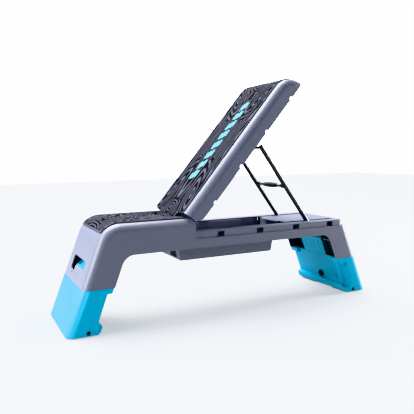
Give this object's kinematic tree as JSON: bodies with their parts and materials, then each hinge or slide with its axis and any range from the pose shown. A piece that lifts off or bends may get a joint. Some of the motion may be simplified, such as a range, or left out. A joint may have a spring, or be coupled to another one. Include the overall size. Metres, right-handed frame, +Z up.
{
  "type": "aerobic step",
  "caption": "Long moulded aerobic step deck whose padded backrest props up on a tube frame over a storage well, standing on legs that fold under it.",
  "frame": {"origin": "on the floor under the middle of the deck", "axes": "+X along the deck from the seat end to the backrest's tip, +Y across it to the far side in the picture, +Z up"},
  "size_m": [1.2264, 0.3138, 0.8492],
  "materials": {
    "grey_plastic": "fine-grained moulded plastic, grey with a touch of lilac",
    "blue_plastic": "moulded cyan-blue plastic",
    "mat_rubber": "charcoal rubber with fine tread ridges",
    "black_rubber": "smooth black rubber and nylon",
    "black_steel": "satin black powder coat",
    "bright_steel": "plain zinc-plated steel"
  },
  "bodies": {
    "base": {"base_shell": "grey_plastic", "hinge_cap_far": "black_rubber", "hinge_cap_near": "black_rubber", "hinge_rod": "bright_steel", "leg_axle_seat_end": "bright_steel", "leg_axle_tip_end": "bright_steel", "prop_foot_pin_far": "bright_steel", "prop_foot_pin_near": "bright_steel", "seat_mat": "mat_rubber", "storage_tray": "grey_plastic", "well_pan": "grey_plastic"},
    "backrest": {"backrest_mat": "mat_rubber", "backrest_shell": "grey_plastic", "prop_bracket_far": "black_steel", "prop_bracket_near": "black_steel"},
    "prop": {"prop_collar_far": "black_rubber", "prop_collar_near": "black_rubber", "prop_crossbar": "black_steel", "prop_foot_cap_far": "black_rubber", "prop_foot_cap_near": "black_rubber", "prop_grip": "black_rubber", "prop_top_bar": "black_steel", "prop_top_cap_far": "black_rubber", "prop_top_cap_near": "black_rubber", "prop_tube_far": "black_steel", "prop_tube_near": "black_steel"},
    "leg_seat_end": {"leg_bumper_seat_end": "black_rubber", "leg_shell_seat_end": "blue_plastic", "lever_pin_seat_end": "bright_steel", "lever_spring_seat_end": "bright_steel", "rubber_foot_seat_end_far": "black_rubber", "rubber_foot_seat_end_near": "black_rubber", "side_plug_seat_end_far": "black_rubber", "side_plug_seat_end_near": "black_rubber"},
    "lever_seat_end": {"release_lever_seat_end": "blue_plastic"},
    "leg_tip_end": {"leg_bumper_tip_end": "black_rubber", "leg_shell_tip_end": "blue_plastic", "lever_pin_tip_end": "bright_steel", "lever_spring_tip_end": "bright_steel", "rubber_foot_tip_end_far": "black_rubber", "rubber_foot_tip_end_near": "black_rubber", "side_plug_tip_end_far": "black_rubber", "side_plug_tip_end_near": "black_rubber"},
    "lever_tip_end": {"release_lever_tip_end": "blue_plastic"}
  },
  "joints": [
    {"name": "backrest_tilt", "type": "hinge", "parent": "base", "child": "backrest", "pos_m": [-0.2, 0, 0.32], "axis": [0, -1, 0], "range_deg": [-49.6, 0]},
    {"name": "prop_swing", "type": "hinge", "parent": "base", "child": "prop", "pos_m": [0.3573, 0, 0.29], "axis": [0, -1, 0], "range_deg": [0, 64.8]},
    {"name": "leg_fold_seat_end", "type": "hinge", "parent": "base", "child": "leg_seat_end", "pos_m": [-0.4552, 0, 0.219], "axis": [0, -1, 0], "range_deg": [0, 110.9]},
    {"name": "leg_fold_tip_end", "type": "hinge", "parent": "base", "child": "leg_tip_end", "pos_m": [0.4552, 0, 0.219], "axis": [0, 1, 0], "range_deg": [0, 110.9]},
    {"name": "lever_pull_seat_end", "type": "hinge", "parent": "leg_seat_end", "child": "lever_seat_end", "pos_m": [-0.54101, 0, 0.16], "axis": [0, 1, 0], "range_deg": [0, 15], "stiffness_Nm_per_rad": 0.2, "springref_deg": -22.92},
    {"name": "lever_pull_tip_end", "type": "hinge", "parent": "leg_tip_end", "child": "lever_tip_end", "pos_m": [0.54101, 0, 0.16], "axis": [0, -1, 0], "range_deg": [0, 15], "stiffness_Nm_per_rad": 0.2, "springref_deg": -22.92}
  ],
  "couplings": [
    {"joint": "prop_swing", "follows": "backrest_tilt", "ratio": -1.3054}
  ]
}
